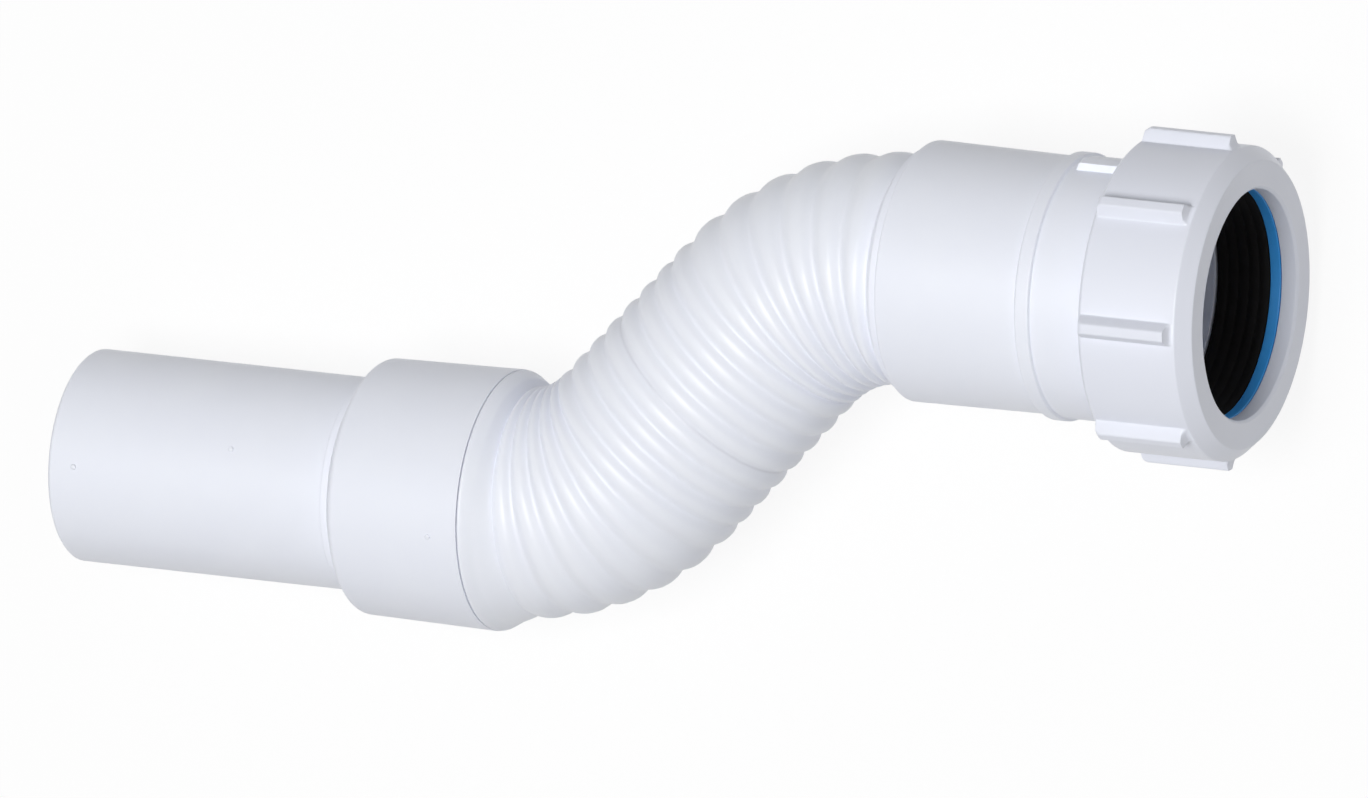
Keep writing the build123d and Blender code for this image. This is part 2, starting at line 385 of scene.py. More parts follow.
@dataclass(frozen=True)
class MouldedFinish:
    """Surface of a moulded plastic or rubber piece, with its cloudiness and its tool's texture.

    Attributes:
        name: Name of the material.
        colour: Main colour, as sRGB hex.
        shade: Colour of its cloudier patches, as sRGB hex.
        ior: Index of refraction.
        roughness: Lowest and highest roughness.
        cloud: Width of the cloudy patches, in millimetres.
        grain: Width of one grain of the tool's texture, in millimetres.
        relief: Height of that grain, in millimetres.
        sheen: Share of the mirror reflection that the surface keeps, 0.5 being all of it.
        milkiness: Share of the light that goes into the plastic and spreads before it comes out.
        spread: How far that light spreads, in millimetres.
    """

    name: str
    colour: str
    shade: str
    ior: float
    roughness: tuple[float, float]
    cloud: float
    grain: float
    relief: float
    sheen: float = 0.5
    milkiness: float = 0.0
    spread: float = 1.0

    def material(self) -> bpy.types.Material:
        """Makes the material.

        Slow noise mixes the two colours and moves the roughness a little, and fine noise gives the tool's
        texture as bump.

        Returns:
            The new material.
        """
        made = bpy.data.materials.new(self.name)
        tree = empty_tree(made)
        place = add_node(tree, "ShaderNodeTexCoord", {}).outputs["Object"]
        cloud, grain = (
            add_node(
                tree, "ShaderNodeTexNoise", {"Vector": place, "Scale": 1 / (width * MM), "Detail": detail}
            ).outputs["Fac"]
            for width, detail in ((self.cloud, 3.0), (self.grain, 2.0))
        )
        colour = add_node(
            tree,
            "ShaderNodeMix",
            {0: cloud, 6: hex_colour(self.colour), 7: hex_colour(self.shade)},
            data_type="RGBA",
        ).outputs[2]
        roughness = add_node(
            tree,
            "ShaderNodeMapRange",
            {
                "Value": cloud,
                "From Min": CLOUD_RANGE[0],
                "From Max": CLOUD_RANGE[1],
                "To Min": self.roughness[0],
                "To Max": self.roughness[1],
            },
        ).outputs["Result"]
        bump = add_node(
            tree, "ShaderNodeBump", {"Height": grain, "Strength": 1.0, "Distance": self.relief * MM}
        ).outputs["Normal"]
        shader = add_node(
            tree,
            "ShaderNodeBsdfPrincipled",
            {
                "Base Color": colour,
                "Roughness": roughness,
                "Normal": bump,
                "IOR": self.ior,
                "Specular IOR Level": self.sheen,
                "Subsurface Weight": self.milkiness,
                "Subsurface Radius": (1.0, 1.0, 1.0),
                "Subsurface Scale": self.spread * MM,
            },
        )
        add_node(tree, "ShaderNodeOutputMaterial", {"Surface": shader.outputs["BSDF"]})
        return made


# Injection-moulded polypropylene: a cool satin white, a soft wide highlight and a trace of the tool's grain
WHITE_POLYPROPYLENE = MouldedFinish(
    name="moulded_white_polypropylene",
    colour="#EFF2FC",
    shade="#EBEEF9",
    ior=1.49,
    roughness=(0.42, 0.5),
    cloud=14.0,
    grain=0.5,
    relief=0.004,
    milkiness=0.3,
)
# The nut is the same plastic from a polished tool, so its edges catch a little more light
NUT_POLYPROPYLENE = MouldedFinish(
    name="polished_white_polypropylene",
    colour="#E8EBF5",
    shade="#E4E7F1",
    ior=1.49,
    roughness=(0.36, 0.44),
    cloud=14.0,
    grain=0.5,
    relief=0.003,
)
# Blow-moulded polypropylene: the hose's stretched wall is smoother than the fittings; its colour is a touch
# brighter as painted bounce light
HOSE_POLYPROPYLENE = MouldedFinish(
    name="blown_white_polypropylene",
    # A touch brighter than the fittings' white: painted light for the bounce in the hose's valleys
    colour="#F1F4FF",
    shade="#EDF0FD",
    ior=1.49,
    roughness=(0.38, 0.46),
    cloud=11.0,
    grain=0.6,
    relief=0.003,
    milkiness=0.5,
)
# Moulded EPDM rubber: near black and dull, its bloom scattering what little it reflects
SEAL_RUBBER = MouldedFinish(
    name="moulded_black_epdm_rubber",
    colour="#141313",
    shade="#191818",
    ior=1.5,
    roughness=(0.62, 0.74),
    cloud=5.0,
    grain=0.3,
    relief=0.01,
    sheen=0.1,
)
# Moulded polyethylene: a clear mid blue with a waxy satin surface
WASHER_POLYETHYLENE = MouldedFinish(
    name="moulded_blue_polyethylene",
    colour="#40A8F5",
    shade="#399EEB",
    ior=1.51,
    roughness=(0.36, 0.46),
    cloud=8.0,
    grain=0.4,
    relief=0.004,
)


@dataclass(frozen=True)
class DrawingFrame:
    """The drawing frame, set in the part's frame by its mounts and hinges.

    Attributes:
        origin: Middle of the tail's free end in the part's frame, in metres.
        axes: Directions of the drawing frame's X, Y and Z in the part's frame, one in each row.
        tail_hinge: Where the hose's bend at the tail turns, in the drawing frame.
        connector_hinge: Where its bend at the connector turns.
        pipe_stop: Place along X of the stop for the pipe in the compression socket.
    """

    origin: Array
    axes: Array
    tail_hinge: Array
    connector_hinge: Array
    pipe_stop: float

    @classmethod
    def from_record(cls, record: dict[str, Any], end_chamfer: float) -> "DrawingFrame":
        """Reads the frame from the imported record.

        Args:
            record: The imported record.
            end_chamfer: Length of the chamfer past the plain part of the spigot.

        Returns:
            The drawing frame.
        """
        mounts = {mount["name"]: mount for mount in record["mounts"]}
        joints = {joint["name"]: joint for joint in record["behaviour"]["joints"]}
        socket, spigot = mounts["compression_socket"], mounts["spigot"]
        along = unit(np.array(socket["axis"]))
        across = unit(np.array(joints["connector_bend"]["axis"]))
        across = unit(across - along * (across @ along))
        axes = np.stack([along, np.cross(across, along), across])
        to_free_end = spigot["dims"]["length_mm"] / 2 + end_chamfer
        origin = np.array(spigot["pos_m"]) - along * to_free_end * MM

        def drawn(place: Sequence[float]) -> Array:
            """A place of the record in the drawing frame, in millimetres."""
            return axes @ (np.array(place) - origin) / MM

        return cls(
            origin,
            axes,
            drawn(joints["tail_bend"]["pos_m"]),
            drawn(joints["connector_bend"]["pos_m"]),
            float(drawn(socket["pos_m"])[0]) - socket["dims"]["length_mm"] / 2,
        )

    @property
    def connector_axis(self) -> float:
        """Distance along Y of the connector's axis from the tail's."""
        return float(self.connector_hinge[1])

    def placed(self, points: Array) -> Array:
        """Points in the part's frame, in metres, from millimetres in the drawing frame."""
        return self.origin + points @ self.axes * MM

    def direction(self, vector: Array) -> Vector:
        """A drawing-frame direction in the part's frame."""
        return Vector((vector @ self.axes).tolist())


def dress(piece: bpy.types.Object, node: str, material: bpy.types.Material) -> None:
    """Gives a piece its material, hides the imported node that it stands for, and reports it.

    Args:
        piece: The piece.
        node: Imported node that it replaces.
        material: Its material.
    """
    piece.data.materials.append(material)
    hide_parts(node)
    LOG.info("%s: %d faces, for %s", piece.name, len(piece.data.polygons), node)


@dataclass(frozen=True)
class Pip:
    """Small pip on the tail: place along X, angle from +Z towards +Y, and radius of the wall under it."""

    x: float
    angle: float
    wall: float


@dataclass(frozen=True)
class SpigotTail:
    """Plain spigot, bead and drafted collar of the tail, moulded in one, in millimetres."""

    diameter: float = 41.0
    length: float = 58.1
    wall: float = 2.3
    end_chamfer: float = 0.6
    bead_height: float = 0.4
    bead_width: float = 1.5
    shoulder_length: float = 2.0
    shoulder_rounding: float = 1.4
    collar_length: float = 27.2
    collar_root: float = 49.4
    collar_mouth: float = 50.4
    lip_rounding: float = 0.12
    socket_diameter: float = 45.3
    socket_depth: float = 24.0
    socket_lead_in: float = 0.5
    segments: int = 256
    pip_radius: float = 0.55
    pip_height: float = 0.3
    pip_sink: float = 0.4
    pip_bluntness: float = 0.6
    pip_rows: int = 17
    pip_columns: int = 24
    pips: tuple[Pip, ...] = (Pip(5.6, -3.0, 20.5), Pip(38.2, 15.7, 20.5), Pip(82.8, -15.6, 25.1))

    @property
    def mouth(self) -> float:
        """Place along X of the collar's mouth."""
        return self.length + self.bead_width + self.shoulder_length + self.collar_length

    def outline(self) -> Array:
        """Outline of the tail's wall.

        Returns:
            The (x, r) points: up the free end, along the outside to the collar's mouth, and back inside.
        """
        outer = self.diameter / 2
        bore = outer - self.wall
        bead = outer + self.bead_height
        shoulder = self.length + self.bead_width
        socket = self.socket_diameter / 2
        floor = self.mouth - self.socket_depth
        return rounded_outline([
            Corner(0, bore, 0.4),
            Corner(0, outer - self.end_chamfer, 0.3),
            Corner(self.end_chamfer, outer, 0.5),
            Corner(self.length, outer, 0.2),
            Corner(self.length, bead, 0.15),
            Corner(shoulder, bead, 0.2),
            Corner(shoulder + self.shoulder_length, self.collar_root / 2, self.shoulder_rounding),
            Corner(self.mouth, self.collar_mouth / 2, self.lip_rounding),
            Corner(self.mouth, socket + self.socket_lead_in, 0.2),
            Corner(self.mouth - self.socket_lead_in, socket, 0.3),
            Corner(floor, socket, 0.4),
            Corner(floor, bore, 0.4),
        ])

    def pip_points(self, pip: Pip) -> Array:
        """Points of one pip: a low rounded stub turned about the line that stands up from the wall.

        At an angle of rise a, the height goes with sin a and the radius with a power of cos a.

        Args:
            pip: The pip.

        Returns:
            Points as rows by columns by 3, in millimetres, with the first and last rows at the stub's poles.
        """
        rise = np.linspace(-math.pi / 2, math.pi / 2, self.pip_rows)
        height = np.where(rise > 0, self.pip_height, self.pip_sink) * np.sin(rise)
        radius = self.pip_radius * np.abs(np.cos(rise)) ** self.pip_bluntness
        around = even_angles(self.pip_columns)
        angle = math.radians(pip.angle)
        up = np.array([0, math.sin(angle), math.cos(angle)])
        side = np.array([0, math.cos(angle), -math.sin(angle)])
        foot = np.array([pip.x, 0, 0]) + up * pip.wall
        ring = radius[:, None, None] * (
            np.cos(around)[:, None] * np.array([1.0, 0, 0]) + np.sin(around)[:, None] * side
        )
        return foot + height[:, None, None] * up + ring

    def build(self, drawing: DrawingFrame, material: bpy.types.Material) -> None:
        """Makes the tail and its pips.

        Args:
            drawing: The drawing frame.
            material: White plastic of the fittings.
        """
        points = turned(*self.outline().T, even_angles(self.segments))
        tail = ring_piece("spigot_tail_moulding", drawing.placed(points))
        dress(tail, "spigot_tail", material)
        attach(tail, Body.TAIL.value)
        for number, pip in enumerate(self.pips, start=1):
            stub = ring_piece(f"moulding_pip_{number}", drawing.placed(self.pip_points(pip)))
            close_poles(stub)
            stub.data.materials.append(material)
            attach(stub, Body.TAIL.value)
            LOG.info("%s: at %.1f mm along the tail", stub.name, pip.x)


def close_poles(piece: bpy.types.Object) -> None:
    """Merges the points that meet at a turned piece's poles, and drops the faces that had no area there.

    Args:
        piece: The piece.
    """
    work = bmesh.new()
    work.from_mesh(piece.data)
    bmesh.ops.remove_doubles(work, verts=work.verts, dist=MERGE_DISTANCE)
    bmesh.ops.dissolve_degenerate(work, edges=work.edges, dist=SHORTEST_EDGE)
    work.to_mesh(piece.data)
    work.free()


@dataclass(frozen=True)
class HosePath:
    """Centreline of the hose in the drawing plane, in millimetres: straight, arc, run, arc, straight.

    Attributes:
        start: Place along X where the arc at the tail begins.
        bend: Turn of each arc, in radians.
        tail_radius: Radius of the arc at the tail.
        connector_radius: Radius of the arc at the connector.
        run: Length of the straight run between them.
        lead: Length of the straight lead into the connector's cuff.
    """

    start: float
    bend: float
    tail_radius: float
    connector_radius: float
    run: float
    lead: float

    @classmethod
    def between(
        cls,
        drawing: DrawingFrame,
        tail_radius: float,
        connector_radius: float,
        steepness: float,
        mouth: float,
    ) -> "HosePath":
        """The path from the tail's axis to the connector's, steeper than the line between the hinges.

        The run's length is what the rise between the two axes leaves over after both arcs. The path is
        centred on the middle between the hinges, and its straight lead reaches the cuff's mouth.

        Args:
            drawing: Drawing frame with the hinges.
            tail_radius: Radius of the arc at the tail.
            connector_radius: Radius of the arc at the connector.
            steepness: Turn of each arc beyond the slope of the line between the hinges, in radians.
            mouth: Place along X of the mouth of the connector's cuff.

        Returns:
            The path.
        """
        slope = drawing.connector_hinge - drawing.tail_hinge
        bend = math.atan2(slope[1], slope[0]) + steepness
        run = (slope[1] - (tail_radius + connector_radius) * (1 - math.cos(bend))) / math.sin(bend)
        middle = float(drawing.tail_hinge[0] + drawing.connector_hinge[0]) / 2
        reach = math.tan(bend / 2)
        foot = middle - slope[1] / math.tan(bend) / 2
        start = foot - tail_radius * reach
        arc_end = foot + slope[1] / math.tan(bend) + connector_radius * reach
        return cls(start, bend, tail_radius, connector_radius, run, mouth - arc_end)

    @property
    def tail_arc(self) -> float:
        """Length along the path where the arc at the tail ends."""
        return self.tail_radius * self.bend

    @property
    def run_end(self) -> float:
        """Length along the path where the straight run ends."""
        return self.tail_arc + self.run

    @property
    def arc_end(self) -> float:
        """Length along the path where the arc at the connector ends."""
        return self.run_end + self.connector_radius * self.bend

    @property
    def free_end(self) -> float:
        """Length along the path where the hose enters the connector's cuff."""
        return self.arc_end + self.lead

    def carried(self, length: Array, radius: Array, angles: Array) -> Array:
        """Points of circles set square to the path.

        The heading is the turn made so far in the first arc less the turn made so far in the second. Each
        circle stands on Z and on the path's own sideways direction.

        Args:
            length: Length along the path of each circle.
            radius: Radius of each circle.
            angles: Angles round each circle, from +Z, in radians.

        Returns:
            Points as rows by columns by 3, in millimetres.
        """
        first = np.clip(length, 0, self.tail_arc) / self.tail_radius
        second = np.clip(length - self.run_end, 0, self.arc_end - self.run_end) / self.connector_radius
        run = np.clip(length - self.tail_arc, 0, self.run)
        left = self.bend - second
        x = self.start + np.minimum(length, 0) + self.tail_radius * np.sin(first) + run * math.cos(self.bend)
        x = x + self.connector_radius * (math.sin(self.bend) - np.sin(left))
        x = x + np.maximum(length - self.arc_end, 0)
        y = self.tail_radius * (1 - np.cos(first)) + run * math.sin(self.bend)
        y = y + self.connector_radius * (np.cos(left) - math.cos(self.bend))
        heading = first - second
        sideways = radius[:, None] * np.sin(angles)
        upwards = radius[:, None] * np.cos(angles)
        return np.stack(
            [
                x[:, None] - np.sin(heading)[:, None] * sideways,
                y[:, None] + np.cos(heading)[:, None] * sideways,
                upwards,
            ],
            axis=-1,
        )


@dataclass(frozen=True)
class FlexibleHose:
    """Corrugated hose with a stop ring at the tail and a plain sleeve in each socket, in millimetres."""

    tail_radius: float = 33.2
    connector_radius: float = 37.4
    steepness: float = math.radians(1.3)
    mouth_reach: float = 17.78
    crest: float = 44.4
    crest_height: float = 1.0
    convolutions: int = 19
    first_pitch: float = 4.6
    wall: float = 1.2
    sleeve: float = 44.9
    sleeve_wall: float = 1.6
    sleeve_show: float = 1.6
    ring: float = 50.2
    ring_gap: float = 0.1
    ring_apex: float = -2.18
    ring_shoulder: float = 0.25
    ring_roundness: float = 1.1
    ring_foot: float = 0.09
    first_valley: float = 2.65
    bend_lead: float = 2.68
    socket_depth: float = 24.0
    end_gap: float = 0.3
    crown_drop: float = 0.8
    flank_steepness: float = 3.4
    valley_floor: float = 0.05
    softness: float = 0.24
    segments: int = 144
    samples: int = 26
    valley_crowding: float = 0.1
    ring_rise_points: int = 12
    ring_fall_points: int = 16

    def wave(self, share: Array) -> Array:
        """Height of the corrugation, from 0 in a valley to 1 on a crest.

        A crest is a low parabola, 1 - drop (2 d)^2 at d corrugations from its middle. Steep straight flanks
        cut it off near the valley, which has a narrow flat floor.

        Args:
            share: Place in corrugations, whole numbers being valleys.

        Returns:
            The height at each place.
        """
        away = np.abs(share - np.round(share))
        crown = 1 - self.crown_drop * (1 - 2 * away) ** 2
        flank = (away - self.valley_floor) * self.flank_steepness
        return smooth_max(smooth_min(crown, flank, self.softness), 0.0, self.softness)

    def crowded_shares(self, first: float, last: float) -> Array:
        """Places from one corrugation to another, closer together in the valleys.

        Even steps are each moved by the crowding times the sine of one turn per corrugation.

        Args:
            first: Number of the first valley.
            last: Number of the last valley.

        Returns:
            The places, in corrugations.
        """
        count = int(round((last - first) * self.samples)) + 1
        even = np.linspace(first, last, count)
        return even - self.valley_crowding * np.sin(TURN * even)

    def tail_half(self, path: HosePath, cut: int) -> Array:
        """Closed (length, radius) section of the half at the tail, up to a valley of the straight run.

        Args:
            path: The hose's centreline.
            cut: Number of the valley where the half ends.

        Returns:
            The section's points: sleeve, ring and corrugations outside, then back along the inside.
        """
        shares = self.crowded_shares(0, cut)
        shares = shares[shares > self.ring_foot]
        lengths = self.valleys(path, shares)
        outer = (self.crest / 2 - self.crest_height) + self.crest_height * self.wave(shares)
        ring_start = self.ring_gap - self.bend_lead
        ring, sleeve, foot = self.ring / 2, self.sleeve / 2, outer[0]
        turn = np.linspace(0, math.pi / 2, self.ring_rise_points)
        rise = np.stack([
            self.ring_apex - (self.ring_apex - ring_start) * np.cos(turn),
            ring - self.ring_shoulder * (1 - np.sin(turn)),
        ], axis=1)
        share = np.linspace(0, 1, self.ring_fall_points)
        fall = np.stack([
            self.ring_apex + (lengths[0] - self.ring_apex) * share,
            ring - (ring - foot) * share**self.ring_roundness,
        ], axis=1)
        sleeve_start = self.end_gap - self.bend_lead - self.socket_depth
        bore = sleeve - self.sleeve_wall
        plain = np.array([(sleeve_start, bore), (sleeve_start, sleeve), (ring_start, sleeve)])
        corrugated = np.stack([lengths, outer], axis=1)
        inside = np.stack([lengths, outer - self.wall], axis=1)
        return np.vstack([plain, rise, fall[1:-1], corrugated, inside[::-1], [(ring_start, bore)]])

    def connector_half(self, path: HosePath, cut: int) -> Array:
        """Closed (length, radius) section of the half at the connector, from that valley on.

        Args:
            path: The hose's centreline.
            cut: Number of the valley where the half begins.

        Returns:
            The section's points: corrugations, half a crest and sleeve outside, then back along the inside.
        """
        sleeve, valley = self.sleeve / 2, self.crest / 2 - self.crest_height
        shares = self.crowded_shares(cut, self.convolutions)
        lengths = self.valleys(path, shares)
        outer = valley + self.crest_height * self.wave(shares)
        last = np.linspace(0, 0.5, self.samples // 2)[1:]
        end_lengths = path.free_end + (2 * last - 1) * self.sleeve_show
        end_outer = valley + (sleeve - valley) * self.wave(last)
        bore = sleeve - self.sleeve_wall
        end_inner = valley - self.wall + (bore - valley + self.wall) * self.wave(last)
        sleeve_end = path.free_end + self.socket_depth - self.end_gap
        outside = np.stack([np.append(lengths, end_lengths), np.append(outer, end_outer)], axis=1)
        inside = np.stack([np.append(lengths, end_lengths), np.append(outer - self.wall, end_inner)], axis=1)
        return np.vstack([outside, [(sleeve_end, sleeve), (sleeve_end, bore)], inside[::-1]])

    def valleys(self, path: HosePath, shares: Array) -> Array:
        """Lengths along the path of places given in corrugations, whose spacing grows from the tail on.

        Place s lies first_pitch s + growth s^2 past the first valley, with the growth that brings the last
        valley to where the sleeve begins to show.

        Args:
            path: The hose's centreline.
            shares: Places in corrugations from the first valley, whole numbers being valleys.

        Returns:
            The length along the path of each place.
        """
        free = path.free_end - self.sleeve_show - self.first_valley
        growth = free / self.convolutions**2 - self.first_pitch / self.convolutions
        return self.first_valley + self.first_pitch * shares + growth * shares**2

    def half(
        self,
        name: str,
        section: Array,
        path: HosePath,
        drawing: DrawingFrame,
        bodies: tuple[Body, Body],
        turn: tuple[float, float],
    ) -> bpy.types.Object:
        """Makes one half of the hose, set on the bent centreline.

        The half is first laid out straight, with its length along X. Then its points go to their places on the
        bent centreline.

        Args:
            name: Name of the piece.
            section: Closed (length, radius) section.
            path: The hose's centreline.
            drawing: The drawing frame.
            bodies: Not used.
            turn: Not used.

        Returns:
            The piece.
        """
        lengths, radius = section.T
        angles = even_angles(self.segments)
        piece = ring_piece(name, turned(lengths, radius, angles) * MM)
        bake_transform(piece)
        bent = drawing.placed(path.carried(lengths, radius, angles))
        piece.data.vertices.foreach_set("co", bent.astype(np.float32).ravel())
        piece.data.update()
        return piece

    def build(self, path: HosePath, drawing: DrawingFrame, material: bpy.types.Material) -> None:
        """Makes the two halves, which meet in a valley of the straight run.

        Args:
            path: The hose's centreline.
            drawing: The drawing frame.
            material: White plastic of the hose.
        """
        cut = self.convolutions // 2
        tail_half = self.half(
            "hose_half_at_tail",
            self.tail_half(path, cut),
            path,
            drawing,
            (Body.HOSE, Body.TAIL),
            (path.tail_arc, 0.0),
        )
        connector_half = self.half(
            "hose_half_at_connector",
            self.connector_half(path, cut),
            path,
            drawing,
            (Body.CONNECTOR, Body.HOSE),
            (path.arc_end, path.run_end),
        )
        for piece in (tail_half, connector_half):
            dress(piece, "flexible_hose", material)


@dataclass(frozen=True)
class Thread:
    """Right-hand round-topped thread of the compression socket and its nut, in millimetres."""

    pitch: float = 4.0
    base: float = 2.3
    top: float = 1.1
    rounding: float = 0.25
    run_out: float = 1.6

    def relief(
        self, x: Array, angles: Array, height: float, start: float, end: float, phase: float
    ) -> Array:
        """Height of the thread's ridge on a wall.

        The distance from the ridge is x less one pitch per right-hand turn about +X, taken to the nearest
        turn. The ridge fades in and out over a short run-out at its ends.

        Args:
            x: Place along the axis of each row.
            angles: Angle of each column, from +Z towards +Y, which is a left-hand turn.
            height: Height of the ridge.
            start: Place where the thread begins.
            end: Place where it ends.
            phase: Where the ridge passes angle 0, as a share of the pitch.

        Returns:
            The height at each row and column, from 0 up.
        """
        turns = x[:, None] / self.pitch + angles / TURN - phase
        distance = (turns - np.round(turns)) * self.pitch
        shown = np.clip(np.minimum(x - start, end - x) / self.run_out, 0, 1)[:, None]
        raised = ridge(distance, self.base, self.top, height, self.rounding)
        return smooth_max(raised, 0.0, self.rounding) * shown


@dataclass(frozen=True)
class ConnectorBody:
    """Hose cuff, raised band, neck with two lugs, and threaded compression socket, in millimetres."""

    cuff_length: float = 31.1
    cuff_root: float = 49.4
    cuff_mouth: float = 50.1
    lip_length: float = 1.6
    lip_rise: float = 0.4
    lip_drop: float = 1.6
    band_rise: float = 0.4
    band_width: float = 2.6
    band_fall: float = 0.3
    band: float = 51.4
    neck: float = 50.2
    thread_length: float = 12.5
    thread_root: float = 52.0
    thread_height: float = 1.0
    end_chamfer: float = 0.6
    socket: float = 45.3
    socket_depth: float = 24.0
    socket_lead_in: float = 0.5
    pipe_bore: float = 43.5
    pipe_bore_length: float = 25.0
    passage: float = 40.6
    seat_depth: float = 8.0
    seat_floor: float = 46.4
    seat_mouth: float = 49.2
    lug_height: float = 1.5
    lug_top: float = 2.6
    lug_base: float = 3.1
    lug_setback: float = 1.2
    lug_length: float = 10.6
    lug_angle: float = 69.0
    lug_end_slope: float = 3.0
    lug_rounding: float = 0.3
    lug_fillet: float = 0.2
    segments: int = 360
    lug_crowding: float = 6.0
    fine_step: float = 0.3

    def outline(self, mouth: float, pipe_stop: float) -> Array:
        """Outline of the body's wall, from the cuff's mouth along the outside and back through the bore.

        Args:
            mouth: Place along X of the cuff's mouth.
            pipe_stop: Place along X of the stop for the pipe.

        Returns:
            The (x, r) points.
        """
        cuff, root, band = (size / 2 for size in (self.cuff_mouth, self.cuff_root, self.band))
        neck, thread, socket = self.neck / 2, self.thread_root / 2, self.socket / 2
        lip_end = mouth + self.lip_length
        cuff_end = mouth + self.cuff_length
        band_end = cuff_end + self.band_rise + self.band_width
        seat_floor = pipe_stop + self.pipe_bore_length
        front = seat_floor + self.seat_depth
        thread_start = front - self.thread_length
        floor = mouth + self.socket_depth
        return rounded_outline([
            Corner(mouth, socket + self.socket_lead_in, 0.2),
            Corner(mouth, cuff - self.lip_drop, 0.3),
            Corner(lip_end, cuff - self.lip_drop, 0.3),
            Corner(lip_end + self.lip_rise, cuff, 0.4),
            Corner(cuff_end, root, 0.3),
            Corner(cuff_end + self.band_rise, band, 0.4),
            Corner(band_end, band, 0.4),
            Corner(band_end + self.band_fall, neck, 0.3),
            Corner(thread_start - (thread - neck), neck, 0.4),
            Corner(thread_start, thread, 0.4),
            Corner(front - self.end_chamfer, thread, 0.3),
            Corner(front, thread - self.end_chamfer, 0.2),
            Corner(front, self.seat_mouth / 2, 0.2),
            Corner(seat_floor, self.seat_floor / 2, 0.3),
            Corner(seat_floor, self.pipe_bore / 2, 0.3),
            Corner(pipe_stop, self.pipe_bore / 2, 0.3),
            Corner(pipe_stop, self.passage / 2, 0.4),
            Corner(floor, self.passage / 2, 0.4),
            Corner(floor, socket, 0.3),
            Corner(mouth + self.socket_lead_in, socket, 0.3),
        ])

    def build(
        self, drawing: DrawingFrame, mouth: float, thread: Thread, material: bpy.types.Material
    ) -> None:
        """Makes the body: the turned outline, with the lugs and the thread raised on its outer wall.

        Args:
            drawing: The drawing frame.
            mouth: Place along X of the cuff's mouth.
            thread: The compression thread.
            material: White plastic of the fittings.
        """
        front = drawing.pipe_stop + self.pipe_bore_length + self.seat_depth
        neck = self.neck / 2
        neck_start = mouth + self.cuff_length + self.band_rise + self.band_width + self.band_fall
        lug_start = neck_start + self.lug_setback
        lug_end = lug_start + self.lug_length
        outline = self.outline(mouth, drawing.pipe_stop)
        x, radius = refined(outline, self.fine_step, lug_start, front).T
        centres = np.radians([self.lug_angle - 180.0, self.lug_angle])
        angles = crowded_angles(self.segments, centres, self.lug_base / neck, self.lug_crowding)
        outside = (radius > neck - WALL_TOLERANCE) & (x > lug_start)
        away = nearest_centre(angles, centres) * neck
        side = ridge(away, self.lug_base, self.lug_top, self.lug_height, self.lug_rounding)
        ends = np.minimum(x - lug_start, lug_end - x) * self.lug_end_slope
        lug = neck + smooth_min(side[None, :], ends[:, None], self.lug_rounding)
        blended = smooth_max(radius[:, None], lug, self.lug_fillet)
        radii = np.where(outside[:, None], blended, radius[:, None])
        threaded = thread.relief(x, angles, self.thread_height, front - self.thread_length, front, 0.0)
        radii = radii + np.where((radius > self.thread_root / 2 - self.end_chamfer)[:, None], threaded, 0)
        points = turned(x, radii, angles, drawing.connector_axis)
        body = ring_piece("connector_moulding", drawing.placed(points))
        dress(body, "connector_body", material)
        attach(body, Body.CONNECTOR.value)


